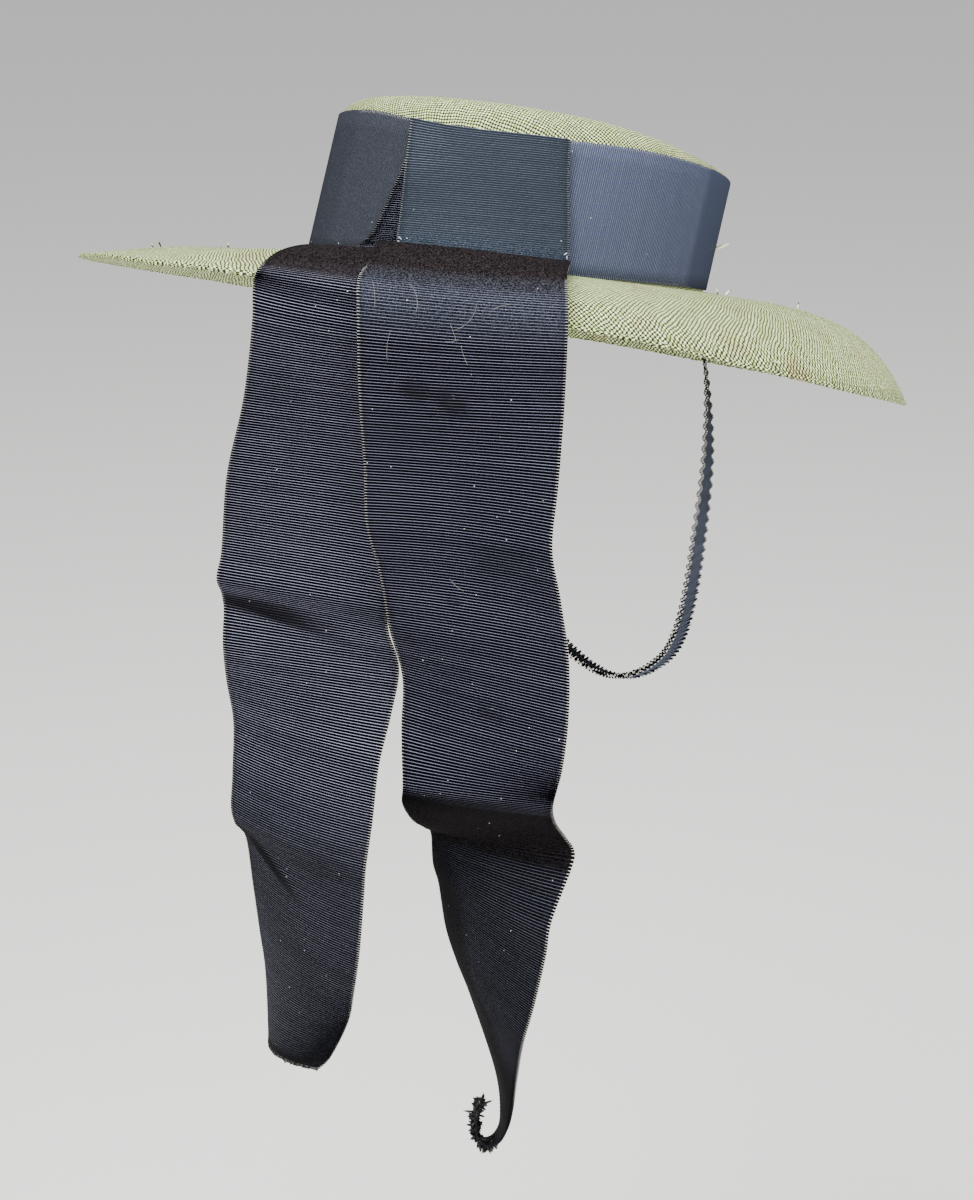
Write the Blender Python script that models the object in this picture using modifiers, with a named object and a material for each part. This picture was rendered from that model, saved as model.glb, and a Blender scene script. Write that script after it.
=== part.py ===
"""A 1940s straw tilt hat with a grosgrain band, two long streamers and a chin ribbon.

The hat is modelled as it is worn, tipped forward over the brow. +Z is up, the wearer looks along -Y,
and the origin is the middle of the head opening. Bearings are degrees from the centre back (+Y) round
to the wearer's right (-X). Heights on the hat are measured along its own axis before it is tipped.
"""

import math

import bmesh
import bpy
from mathutils import Matrix, Vector

# How the hat is worn
TIP_FORWARD = math.radians(19)

# Straw crown and brim
STRAW = 0.0016
GAP = 0.0003
CROWN_HALF_WIDTH = 0.0775
CROWN_HALF_LENGTH = 0.0825
CORNER_RADIUS = 0.0125
TOP_DOME = 0.002
CROWN_LEAN = 0.004
SEAM_DEPTH = 0.005
AROUND = 60

# The crown sits a little askew on the brim: its foot is highest at HIGH_BEARING, its top at TOP_HIGH_BEARING.
HIGH_BEARING = 155
FOOT_HEIGHT = -0.0035
FOOT_SLOPE = 0.0088
SIDE_HEIGHT = 0.0460
TOP_HEIGHT = 0.0552
TOP_SLOPE = 0.0018
TOP_HIGH_BEARING = 123
SIDE_TOPS = (
    # bearing, height
    (-20, 0.0457),
    (10, 0.0419),
    (35, 0.0438),
    (64, 0.0474),
    (97, 0.0488),
    (150, 0.0480),
    (240, 0.0465),
)

# The crown's top is pushed in where hands take hold of it. Metres, in the hat's own plan.
CROWN_DENTS = (
    # across, back, reach, depth
    (-0.064, -0.016, 0.034, 0.0048),
    (0.030, -0.030, 0.034, 0.0015),
)

# Brim sections, each at a bearing. Roll is the power of the curve: a high one stays flat, then turns down.
BRIM_SECTIONS = (
    # bearing, width, edge_height, roll
    (-57, 0.0885, -0.0262, 2.0),
    (-25, 0.0868, -0.0286, 1.7),
    (33, 0.0825, -0.0272, 4.2),
    (85, 0.0858, -0.0282, 5.0),
    (123, 0.0880, -0.0246, 4.6),
    (168, 0.0864, -0.0165, 4.2),
    (213, 0.0840, -0.0152, 3.6),
)
BRIM_STEPS = (0.0, 0.2, 0.4, 0.55, 0.68, 0.79, 0.88, 0.95, 1.0)

# Grosgrain ribbon
RIBBON = 0.0010
BAND_STAND_OFF = GAP
BAND_FOOT = 0.0010
LEFT_STAND_OFF = BAND_STAND_OFF + RIBBON + 2 * GAP + RIBBON / 2
RIGHT_STAND_OFF = LEFT_STAND_OFF + RIBBON + 1.5 * GAP
ACROSS = 8
ROWS_BETWEEN = 2

# The streamers hang in a frame turned to face this bearing: out is along it, side is to its right.
HANG_BEARING = 33

# Right streamer: a stitched panel on the crown, over the brim, a free fall with one sharp kink, a curled end.
RIGHT_ON_CROWN = (
    # above_join, stand_off, left_bearing, right_bearing
    (None, RIGHT_STAND_OFF, -1.5, 40.5),
    (0.036, RIGHT_STAND_OFF, 0, 42.5),
    (0.021, RIGHT_STAND_OFF + 0.0002, 1.5, 45),
    (0.009, RIGHT_STAND_OFF + 0.0016, 3.0, 46.5),
)
RIGHT_ON_BRIM = (
    # reach, lift, left_bearing, right_bearing
    (0.008, 0.0048, 5.0, 46.5),
    (0.020, 0.0042, 7.0, 45),
    (0.042, 0.0042, 10.0, 42.5),
)
RIGHT_HANGING = (
    # height, out, side, turn, curl, tip, width
    (0.0280, 0.1500, 0.020, -8, 20, 4, 0.069),
    (0.0235, 0.1640, 0.020, -8, 20, 5, 0.072),
    (0.0140, 0.1715, 0.020, -6, 18, 4, 0.072),
    (-0.0100, 0.1770, 0.019, 6, 10, 0, 0.072),
    (-0.0370, 0.1825, 0.017, 24, -12, 0, 0.071),
    (-0.0580, 0.1870, 0.015, 38, -32, 0, 0.071),
    (-0.0760, 0.1890, 0.018, 38, -26, 0, 0.071),
    (-0.0970, 0.1920, 0.021, 31, -6, 0, 0.072),
    (-0.1180, 0.1955, 0.021, 33, 4, 0, 0.072),
    (-0.1350, 0.1990, 0.019, 34, 6, -2, 0.072),
    (-0.1470, 0.2015, 0.016, 36, 8, -10, 0.072),
    (-0.1580, 0.1925, 0.017, 34, 8, -10, 0.072),
    (-0.1680, 0.1840, 0.021, 33, 8, -10, 0.072),
    (-0.1740, 0.1825, 0.024, 34, 10, -9, 0.072),
    (-0.1800, 0.1845, 0.023, 37, 13, -7, 0.072),
    (-0.1990, 0.1885, 0.016, 44, 16, -3, 0.072),
    (-0.2130, 0.1885, 0.014, 47, 18, 0, 0.072),
    (-0.2340, 0.1870, 0.010, 54, 16, 0, 0.072),
    (-0.2520, 0.1840, 0.006, 62, 14, 0, 0.072),
    (-0.2680, 0.1800, 0.004, 70, 8, 0, 0.066),
    (-0.2850, 0.1770, 0.002, 79, 4, -6, 0.040),
    (-0.2940, 0.1750, 0.000, 84, 0, -14, 0.022),
    (-0.3000, 0.1740, -0.003, 86, 0, -18, 0.018),
    (-0.3015, 0.1740, -0.0075, 86, 0, -20, 0.016),
    (-0.2970, 0.1740, -0.0110, 86, 0, -20, 0.015),
    (-0.2900, 0.1740, -0.0112, 86, 0, -20, 0.014),
    (-0.2845, 0.1740, -0.0095, 86, 0, -20, 0.013),
)

# Left streamer: slants out from under the panel, over the brim, then falls and turns away from its left edge.
LEFT_ON_CROWN = (
    # above_join, stand_off, left_bearing, right_bearing
    (None, LEFT_STAND_OFF, 0.5, 39),
    (0.036, LEFT_STAND_OFF, -1.5, 39),
    (0.021, LEFT_STAND_OFF, -4.0, 40),
    (0.009, LEFT_STAND_OFF + 0.0004, -6.5, 40),
)
LEFT_ON_BRIM = (
    # reach, lift, left_bearing, right_bearing
    (0.009, 0.0026, -8.0, 37),
    (0.020, 0.0018, -7.5, 33.5),
    (0.042, 0.0015, -4.0, 29.5),
    (0.066, 0.0015, -0.5, 28.5),
    (0.085, 0.0015, 2.0, 27.5),
)
LEFT_HANGING = (
    # height, out, side, turn, curl, tip, width
    (0.0165, 0.1680, -0.0220, 6, 28, 5, 0.072),
    (0.0060, 0.1685, -0.0235, 10, 24, 3, 0.072),
    (-0.0200, 0.1640, -0.030, 23, 6, 0, 0.072),
    (-0.0500, 0.1575, -0.037, 26, -2, 0, 0.072),
    (-0.0800, 0.1560, -0.0415, 28, -2, 0, 0.072),
    (-0.0910, 0.1560, -0.0430, 26, 0, 0, 0.072),
    (-0.1010, 0.1540, -0.0430, 30, -2, 0, 0.072),
    (-0.1160, 0.1520, -0.0395, 22, 0, 0, 0.072),
    (-0.1330, 0.1540, -0.0425, 22, 12, 0, 0.072),
    (-0.1510, 0.1600, -0.0470, 28, 18, 0, 0.072),
    (-0.1720, 0.1640, -0.0495, 28, 22, 0, 0.072),
    (-0.1890, 0.1650, -0.0520, 30, 22, 0, 0.072),
    (-0.2010, 0.1645, -0.0530, 34, 26, 0, 0.072),
    (-0.2240, 0.1640, -0.0550, 36, 30, 0, 0.072),
    (-0.2420, 0.1630, -0.0575, 40, 30, -3, 0.072),
    (-0.2550, 0.1620, -0.0600, 43, 31, -8, 0.072),
    (-0.2710, 0.1600, -0.0670, 47, 34, -17, 0.072),
    (-0.2770, 0.1590, -0.0720, 51, 34, -19, 0.072),
)

# Chin ribbon: one loop from inside the crown's sides, down the cheeks and under the chin. Half of it is listed.
CHIN_WIDTH = 0.011
CHIN_BEARING = 135
CHIN_SEWN = (0.012, -SEAM_DEPTH - 0.002)
CHIN_ROUTE = (
    # across, back, up, facing
    (-0.0575, -0.0615, -0.044, 120),
    (-0.0570, -0.0680, -0.085, 100),
    (-0.0500, -0.0745, -0.130, 90),
    (-0.0420, -0.0800, -0.165, 90),
    (-0.0320, -0.0840, -0.187, 90),
    (-0.0160, -0.0865, -0.201, 90),
    (0.0000, -0.0875, -0.206, 90),
)
CHIN_ROWS = 7
CHIN_RUFFLE = 0.0016
CHIN_RUFFLES = 22

# A small leaf of folded straw stands out from the band at the front right.
TAB_BEARING = 139
TAB_HEIGHT = 0.022
TAB_LENGTH = 0.0105
TAB_WIDTH = 0.0060
TAB_THICKNESS = 0.0016
TAB_LIFT = math.radians(32)


def read_round(rows, bearing):
    """The other columns of a table of bearings, on a smooth closed curve through its rows."""
    laps = [(row[0] + lap, *row[1:]) for lap in (-360, 0, 360) for row in rows]
    index = max(at for at in range(1, len(laps) - 2) if laps[at][0] <= bearing % 360)
    before, start, end, after = laps[index - 1 : index + 3]
    part = (bearing % 360 - start[0]) / (end[0] - start[0])
    return [spline(*column, part) for column in zip(before[1:], start[1:], end[1:], after[1:])]


def spline(before, start, end, after, part):
    """A Catmull-Rom curve from start to end, for numbers or vectors."""
    return 0.5 * (
        2 * start
        + (end - before) * part
        + (2 * before - 5 * start + 4 * end - after) * part**2
        + (3 * start - 3 * end + after - before) * part**3
    )


def toward(bearing):
    angle = math.radians(bearing)
    return Vector((-math.sin(angle), math.cos(angle), 0))


def crown_radius(bearing):
    angle = math.radians(bearing)
    across = math.sin(angle) / CROWN_HALF_WIDTH
    along = math.cos(angle) / CROWN_HALF_LENGTH
    return 1 / math.hypot(across, along)


def askew(bearing):
    return math.cos(math.radians(bearing - HIGH_BEARING))


def join_height(bearing):
    """Where crown and brim meet."""
    return FOOT_HEIGHT + FOOT_SLOPE * askew(bearing)


def side_top(bearing):
    """Where the crown's side turns over into its top. Old ribbon and hands have left it uneven."""
    return read_round(SIDE_TOPS, bearing)[0]


def on_crown(bearing, height, stand_off):
    """A point that far outside the crown's side."""
    lean = Vector((0, -CROWN_LEAN * height / SIDE_HEIGHT, height))
    return toward(bearing) * (crown_radius(bearing) + stand_off) + lean


def along_crown(bearing):
    """The level direction along the crown's side, towards the back."""
    return (on_crown(bearing - 1, 0, 0) - on_crown(bearing + 1, 0, 0)).normalized()


def brim_section(bearing):
    """The brim's width, edge height and roll at a bearing."""
    return read_round(BRIM_SECTIONS, bearing)


def on_brim(bearing, reach, lift):
    """A point that far out from the crown and above the brim's top."""
    width, edge, roll = brim_section(bearing)
    join = join_height(bearing)
    point = on_crown(bearing, join, reach)
    point.z += (edge - join) * min(reach / width, 1) ** roll + lift
    return point


def worn(point):
    return Matrix.Rotation(TIP_FORWARD, 3, "X") @ point


def hung(row):
    """One rib of a hanging streamer, left to right, from the place of its right end and how it turns."""
    height, out, side, turn, curl, tip, width = row
    outward, rightward = toward(HANG_BEARING), toward(HANG_BEARING + 90)
    point = outward * out + rightward * side + Vector((0, 0, height))
    rib = [point.copy()]
    step = width / ACROSS
    for index in range(ACROSS):
        heading = math.radians(turn + curl * (index + 0.5) / ACROSS)
        level = rightward * math.cos(heading) + outward * math.sin(heading)
        point -= level * step * math.cos(math.radians(tip))
        point.z += step * math.sin(math.radians(tip))
        rib.append(point.copy())
    return rib[::-1]


def across(left, right):
    return [left + (right - left) * index / ACROSS for index in range(ACROSS + 1)]


def streamer_rows(crown_rows, brim_rows, hanging_rows):
    """Key ribs from the top of the crown to the free end, each a list of points from left to right."""
    keys = []
    for above, stand_off, left, right in crown_rows:
        bearings = across(left, right)
        heights = [side_top(b) if above is None else join_height(b) + above for b in bearings]
        pairs = zip(bearings, heights)
        keys.append([worn(on_crown(bearing, height, stand_off)) for bearing, height in pairs])
    for reach, lift, left, right in brim_rows:
        keys.append([worn(on_brim(bearing, reach, lift)) for bearing in across(left, right)])
    return keys + [hung(row) for row in hanging_rows]


def denser(keys, between):
    """The same ribs with more between them, on a smooth curve along each thread."""
    last = len(keys) - 1
    rows = []
    for index in range(last):
        four = [keys[min(max(index + k, 0), last)] for k in (-1, 0, 1, 2)]
        for step in range(between):
            rows.append([spline(*points, step / between) for points in zip(*four)])
    return rows + [keys[last]]


def material(name, colour, roughness):
    made = bpy.data.materials.new(name)
    made.use_nodes = True
    shader = made.node_tree.nodes["Principled BSDF"]
    shader.inputs["Base Color"].default_value = (*colour, 1)
    shader.inputs["Roughness"].default_value = roughness
    shader.inputs["Metallic"].default_value = 0
    return made


def sheet(name, rows, closed, tip=None):
    """A mesh of quads through rows of points. Closed rows are rings, and a tip closes the last of them."""
    form = bmesh.new()
    grid = [[form.verts.new(point) for point in row] for row in rows]
    spans = len(rows[0]) if closed else len(rows[0]) - 1
    for lower, upper in zip(grid, grid[1:]):
        for index in range(spans):
            following = (index + 1) % len(lower)
            form.faces.new((lower[index], lower[following], upper[following], upper[index]))
    if tip:
        peak = form.verts.new(tip)
        for index in range(spans):
            form.faces.new((grid[-1][index], grid[-1][(index + 1) % spans], peak))
    mesh = bpy.data.meshes.new(name)
    form.to_mesh(mesh)
    form.free()
    made = bpy.data.objects.new(name, mesh)
    hat.objects.link(made)
    return made


def thicken(obj, thickness, offset):
    modifier = obj.modifiers.new("Wall", "SOLIDIFY")
    modifier.thickness = thickness
    modifier.offset = offset
    modifier.use_even_offset = True


def finish(obj, colour, roughness):
    obj.data.materials.append(material(obj.name, colour, roughness))


def ring(place, level):
    """One ring of points round the hat, from a function of the bearing and of the ring's level."""
    return [worn(place(360 * index / AROUND, level)) for index in range(AROUND)]


def top_height(point):
    """The crown's top is a shallow dome with soft dents."""
    edge = (CROWN_HALF_WIDTH + CROWN_HALF_LENGTH) / 2 - CORNER_RADIUS
    height = TOP_HEIGHT + TOP_DOME * (1 - min(point.xy.length / edge, 1) ** 2)
    height += TOP_SLOPE * toward(TOP_HIGH_BEARING).xy.dot(point.xy) / edge
    for middle_x, middle_y, reach, depth in CROWN_DENTS:
        away = math.hypot(point.x - middle_x, point.y - middle_y) / reach
        height -= depth * math.exp(-(away**2))
    return height


def crown_side(bearing, part):
    """A point on the crown's side, from its foot below the brim at 0 to the top of the side at 1."""
    foot = join_height(bearing) - SEAM_DEPTH
    return on_crown(bearing, foot + (side_top(bearing) - foot) * part, 0)


def crown_corner(bearing, turn):
    """A point on the rounded edge between the side and the top, that many degrees round it."""
    angle = math.radians(turn)
    point = on_crown(bearing, side_top(bearing), CORNER_RADIUS * (math.cos(angle) - 1))
    point.z += (top_height(point) - side_top(bearing)) * math.sin(angle)
    return point


def crown_top(bearing, part):
    """A point on the crown's top, from its middle at 0 to its rounded edge at 1."""
    edge = crown_radius(bearing) - CORNER_RADIUS
    point = on_crown(bearing, side_top(bearing), edge * part - crown_radius(bearing))
    point.z = top_height(point)
    return point


def make_crown():
    rings = [ring(crown_side, part) for part in (0, 0.33, 0.67, 1)]
    rings += [ring(crown_corner, turn) for turn in (18, 36, 54, 72, 90)]
    rings += [ring(crown_top, part) for part in (0.75, 0.5, 0.25)]
    crown = sheet("crown", rings, closed=True, tip=worn(crown_top(0, 0)))
    thicken(crown, STRAW, -1)
    finish(crown, (0.62, 0.62, 0.40), 0.75)


def brim_step(bearing, part):
    """A point on the brim's top, from the crown at 0 to the brim's edge at 1."""
    width = brim_section(bearing)[0]
    return on_brim(bearing, GAP + (width - GAP) * part, 0)


def make_brim():
    rings = [ring(brim_step, part) for part in BRIM_STEPS]
    brim = sheet("brim", rings, closed=True)
    thicken(brim, STRAW, 1)
    finish(brim, (0.60, 0.60, 0.38), 0.78)


def band_height(bearing, part):
    """A point on the band's inner face, from the brim at 0 to the top of the crown's side at 1."""
    foot = join_height(bearing) + BAND_FOOT
    return on_crown(bearing, foot + (side_top(bearing) - foot) * part, BAND_STAND_OFF)


def make_band():
    rings = [ring(band_height, part) for part in (0, 0.33, 0.67, 1)]
    band = sheet("band", rings, closed=True)
    thicken(band, RIBBON, 1)
    finish(band, (0.045, 0.052, 0.080), 0.70)


def make_streamer(name, crown_rows, brim_rows, hanging_rows):
    keys = streamer_rows(crown_rows, brim_rows, hanging_rows)
    streamer = sheet(name, denser(keys, ROWS_BETWEEN), closed=False)
    thicken(streamer, RIBBON, 0)
    finish(streamer, (0.012, 0.015, 0.030), 0.62)


def chin_keys():
    """Where the chin ribbon runs, each place with the direction across the ribbon there."""
    inside = -STRAW - 2 * GAP - RIBBON / 2
    sewn = [
        [worn(on_crown(bearing, join_height(bearing) + up, inside)) for up in CHIN_SEWN]
        for bearing in (CHIN_BEARING, -CHIN_BEARING)
    ]
    free = [Vector(row[:3]) for row in CHIN_ROUTE]
    faces = [worn(along_crown(bearing)) for bearing in (CHIN_BEARING, CHIN_BEARING)]
    faces += [worn(along_crown(row[3])) for row in CHIN_ROUTE]
    there = list(zip(sewn[0] + free, faces))
    back = list(zip(sewn[1] + [mirrored(point) for point in free], map(mirrored, faces)))
    return there + back[-2::-1]


def mirrored(vector):
    return Vector((-vector.x, vector.y, vector.z))


def make_chin_ribbon():
    route = denser(chin_keys(), CHIN_ROWS)
    rows = []
    for index, (point, crosswise) in enumerate(route):
        ahead = route[min(index + 1, len(route) - 1)][0] - route[max(index - 1, 0)][0]
        along = ahead.normalized()
        level = (crosswise - along * along.dot(crosswise)).normalized() * CHIN_WIDTH / 2
        share = (index - CHIN_ROWS) / (len(route) - 1 - 2 * CHIN_ROWS)
        free = max(0, math.sin(math.pi * share)) ** 0.5
        wave = CHIN_RUFFLE * free * math.sin(2 * math.pi * CHIN_RUFFLES * share)
        shift = along.cross(level).normalized() * wave
        rows.append([point - level + shift, point, point + level - shift])
    chin = sheet("chin_ribbon", rows, closed=False)
    thicken(chin, RIBBON, 0)
    finish(chin, (0.015, 0.018, 0.034), 0.60)


def make_straw_tab():
    """A leaf-shaped tab, its foot at the band and its tip outward and up."""
    out = toward(TAB_BEARING) * math.cos(TAB_LIFT) + Vector((0, 0, math.sin(TAB_LIFT)))
    flat = toward(TAB_BEARING + 90)
    foot = on_crown(TAB_BEARING, TAB_HEIGHT, BAND_STAND_OFF + RIBBON + 2 * GAP)
    form = bmesh.new()
    bmesh.ops.create_uvsphere(form, u_segments=10, v_segments=6, radius=0.5)
    for vert in form.verts:
        length, breadth, depth = vert.co
        taper = 1 - 0.5 * length
        place = foot + out * TAB_LENGTH * (length + 0.5)
        place += flat * TAB_WIDTH * breadth * taper + out.cross(flat) * TAB_THICKNESS * depth
        vert.co = worn(place)
    mesh = bpy.data.meshes.new("straw_tab")
    form.to_mesh(mesh)
    form.free()
    tab = bpy.data.objects.new("straw_tab", mesh)
    hat.objects.link(tab)
    finish(tab, (0.68, 0.66, 0.46), 0.70)


for old in list(bpy.data.objects):
    bpy.data.objects.remove(old)
hat = bpy.data.collections.new("tilt_hat")
bpy.context.scene.collection.children.link(hat)

make_crown()
make_brim()
make_band()
make_streamer("streamer_left", LEFT_ON_CROWN, LEFT_ON_BRIM, LEFT_HANGING)
make_streamer("streamer_right", RIGHT_ON_CROWN, RIGHT_ON_BRIM, RIGHT_HANGING)
make_chin_ribbon()
make_straw_tab()
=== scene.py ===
"""Dresses a 1940s straw tilt hat: woven straw, grosgrain band and streamers, and a ruffled chin ribbon."""
import math

import bmesh
import bpy
from mathutils import Matrix, Vector, noise


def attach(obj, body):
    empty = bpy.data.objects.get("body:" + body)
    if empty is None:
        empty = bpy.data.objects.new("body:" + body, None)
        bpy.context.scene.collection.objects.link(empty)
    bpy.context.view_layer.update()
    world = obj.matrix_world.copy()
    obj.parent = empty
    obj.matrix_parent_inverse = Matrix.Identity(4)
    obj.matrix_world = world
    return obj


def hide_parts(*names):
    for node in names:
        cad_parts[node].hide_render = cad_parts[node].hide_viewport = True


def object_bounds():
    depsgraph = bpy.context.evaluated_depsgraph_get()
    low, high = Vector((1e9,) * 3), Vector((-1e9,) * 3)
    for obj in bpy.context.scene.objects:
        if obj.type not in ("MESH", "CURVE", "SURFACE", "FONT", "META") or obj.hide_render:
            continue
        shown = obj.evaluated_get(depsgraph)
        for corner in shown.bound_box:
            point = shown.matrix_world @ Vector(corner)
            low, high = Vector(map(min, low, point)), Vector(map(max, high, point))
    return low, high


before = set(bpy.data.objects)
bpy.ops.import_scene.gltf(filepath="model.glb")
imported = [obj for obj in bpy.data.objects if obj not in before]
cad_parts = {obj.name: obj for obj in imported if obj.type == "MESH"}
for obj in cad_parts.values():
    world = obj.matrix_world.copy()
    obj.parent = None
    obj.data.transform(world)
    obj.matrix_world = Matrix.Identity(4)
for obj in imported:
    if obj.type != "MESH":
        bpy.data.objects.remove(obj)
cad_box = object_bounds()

# The camera stands behind the wearer's right shoulder, a little above the brim, and looks down at the hat.
CAMERA_AZIMUTH = math.radians(213)
CAMERA_ELEVATION = math.radians(12)
CAMERA_DISTANCE = 1.02
LOOK_TURN = math.radians(213.51)
LOOK_DOWN = math.radians(19.61)
VIEW_HEIGHT = math.radians(27)

camera_data = bpy.data.cameras.new("camera")
camera_data.sensor_fit = "VERTICAL"
camera_data.angle = VIEW_HEIGHT
camera = bpy.data.objects.new("camera", camera_data)
camera.location = CAMERA_DISTANCE * Vector(
    (
        math.sin(CAMERA_AZIMUTH) * math.cos(CAMERA_ELEVATION),
        -math.cos(CAMERA_AZIMUTH) * math.cos(CAMERA_ELEVATION),
        math.sin(CAMERA_ELEVATION),
    )
)
camera.rotation_euler = (math.pi / 2 - LOOK_DOWN, 0, LOOK_TURN)
bpy.context.scene.collection.objects.link(camera)
bpy.context.scene.camera = camera


# Straw crown. The real one is a hood of parasisal, fine natural straw yarns, that was blocked over a low
# flat form. Hands have dented the top where they take hold of it.
TIP_FORWARD = math.radians(19)
STRAW = 0.0016
GAP = 0.0003
CROWN_HALF_WIDTH = 0.0775
CROWN_HALF_LENGTH = 0.0825
CORNER_RADIUS = 0.0125
TOP_DOME = 0.002
CROWN_LEAN = 0.004
SEAM_DEPTH = 0.005
HIGH_BEARING = 155
FOOT_HEIGHT = -0.0035
FOOT_SLOPE = 0.0088
SIDE_HEIGHT = 0.0460
TOP_HEIGHT = 0.0552
TOP_SLOPE = 0.0018
TOP_HIGH_BEARING = 123
SIDE_TOPS = (
    # bearing, height
    (-20, 0.0457),
    (10, 0.0419),
    (35, 0.0438),
    (64, 0.0474),
    (97, 0.0488),
    (150, 0.0480),
    (240, 0.0465),
)
CROWN_DENTS = (
    # across, back, reach, depth
    (-0.064, -0.016, 0.034, 0.0048),
    (0.030, -0.030, 0.034, 0.0015),
)
CROWN_AROUND = 240
CROWN_SIDE_STEPS = 10
CROWN_CORNER_STEPS = 10
CROWN_TOP_STEPS = 22
# The pitch at the outer brim. Fine hoods have about 1 mm; a little coarser is drawn, so that it shows.
YARN = 0.00118
YARNS_ROUND_BRIM = 564
PROUD_YARN = 1.05
SUNK_YARN = 0.97
YARN_LEVEL = 0.44
YARN_RISE = 0.56
YARN_WANDER = 2.4
WANDER_SCALE = 95
PATCH_SCALE = 60
GLINT_SCALE = 620
# Of a noise or a height: where a range starts and ends, then its lowest and its highest result.
STRAW_FILLED = (0.34, 0.82)
STRAW_RUST = (0.58, 0.78, 0, 0.45)
STRAW_DULLED = (0.36, 0.58, 0.66)
CROWN_WEAVE_TURN = math.radians(78)
CROWN_YARNS = 4096
WELD = 0.00001
STRAW_PALE = "#f5ffc2"
STRAW_DEEP = "#d6ed98"
# The gap colour is painted shade between the weave's yarns; the leaf tab also uses it for its dark veins.
STRAW_GAP = "#181e0c"
STRAW_RUSTY = "#c8896c"


def toward(bearing):
    """Level, away from the head. Bearings are degrees from the centre back round to the wearer's right."""
    angle = math.radians(bearing)
    return Vector((-math.sin(angle), math.cos(angle), 0))


def crown_radius(bearing):
    angle = math.radians(bearing)
    return 1 / math.hypot(math.sin(angle) / CROWN_HALF_WIDTH, math.cos(angle) / CROWN_HALF_LENGTH)


def spline(before, start, end, after, part):
    """A Catmull-Rom curve from start to end, for numbers or vectors."""
    return 0.5 * (
        2 * start
        + (end - before) * part
        + (2 * before - 5 * start + 4 * end - after) * part**2
        + (3 * start - 3 * end + after - before) * part**3
    )


def read_round(rows, bearing):
    """The other columns of a table of bearings, on a smooth closed curve through its rows."""
    laps = [(row[0] + lap, *row[1:]) for lap in (-360, 0, 360) for row in rows]
    index = max(at for at in range(1, len(laps) - 2) if laps[at][0] <= bearing % 360)
    before, start, end, after = laps[index - 1 : index + 3]
    part = (bearing % 360 - start[0]) / (end[0] - start[0])
    return [spline(*column, part) for column in zip(before[1:], start[1:], end[1:], after[1:])]


def askew(bearing):
    return math.cos(math.radians(bearing - HIGH_BEARING))


def join_height(bearing):
    """Where crown and brim meet."""
    return FOOT_HEIGHT + FOOT_SLOPE * askew(bearing)


def side_top(bearing):
    """Where the crown's side turns over into its top. Old ribbon and hands have left it uneven."""
    return read_round(SIDE_TOPS, bearing)[0]


def on_crown(bearing, height, stand_off):
    """A point that far outside the crown's side."""
    lean = Vector((0, -CROWN_LEAN * height / SIDE_HEIGHT, height))
    return toward(bearing) * (crown_radius(bearing) + stand_off) + lean


def top_height(point):
    """The crown's top is a shallow dome with soft dents."""
    edge = (CROWN_HALF_WIDTH + CROWN_HALF_LENGTH) / 2 - CORNER_RADIUS
    height = TOP_HEIGHT + TOP_DOME * (1 - min(point.xy.length / edge, 1) ** 2)
    height += TOP_SLOPE * toward(TOP_HIGH_BEARING).xy.dot(point.xy) / edge
    for middle_x, middle_y, reach, depth in CROWN_DENTS:
        away = math.hypot(point.x - middle_x, point.y - middle_y) / reach
        height -= depth * math.exp(-(away**2))
    return height


def worn(point):
    return Matrix.Rotation(TIP_FORWARD, 3, "X") @ point


def linear(hex_colour):
    """An sRGB hex colour as the linear colour that a shader takes."""
    channels = [int(hex_colour[at : at + 2], 16) / 255 for at in (1, 3, 5)]
    return [c / 12.92 if c <= 0.04045 else ((c + 0.055) / 1.055) ** 2.4 for c in channels] + [1]


def add_node(tree, kind, values=(), links=(), out=0, **settings):
    """Adds a shader node and gives one of its outputs. Values and links are by input name or number."""
    node = tree.nodes.new("ShaderNode" + kind)
    for name, setting in settings.items():
        setattr(node, name, setting)
    for socket, value in dict(values).items():
        node.inputs[socket].default_value = value
    for socket, output in dict(links).items():
        tree.links.new(output, node.inputs[socket])
    return node.outputs[out]


def new_material(name, roughness, specular):
    made = bpy.data.materials.new(name)
    made.use_nodes = True
    shader = made.node_tree.nodes["Principled BSDF"]
    shader.inputs["Roughness"].default_value = roughness
    shader.inputs["Specular IOR Level"].default_value = specular
    shader.inputs["Metallic"].default_value = 0
    return made, made.node_tree, shader


def math_node(tree, operation, *terms):
    """A Math node. Each term is a number or another node's output."""
    values = {at: term for at, term in enumerate(terms) if isinstance(term, (int, float))}
    links = {at: term for at, term in enumerate(terms) if at not in values}
    return add_node(tree, "Math", values, links, operation=operation)


def noise_node(tree, vector, scale, detail, roughness=0.5, out=0):
    values = {"Scale": scale, "Detail": detail, "Roughness": roughness}
    return add_node(tree, "TexNoise", values, {"Vector": vector}, out)


def ranged(tree, value, start, end, low=0.0, high=1.0, rise="LINEAR"):
    """How far the value lies from start to end, as a number from low to high."""
    ends = {"From Min": start, "From Max": end, "To Min": low, "To Max": high}
    return add_node(tree, "MapRange", ends, {"Value": value}, interpolation_type=rise)


def mixed(tree, share, first, second):
    """A mix of two colours, each of them a hex colour or another node's output."""
    colours = {6: first, 7: second}
    values = {at: linear(colour) for at, colour in colours.items() if isinstance(colour, str)}
    links = {at: colour for at, colour in colours.items() if at not in values}
    return add_node(tree, "Mix", values, {"Factor": share, **links}, 2, data_type="RGBA")


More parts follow.
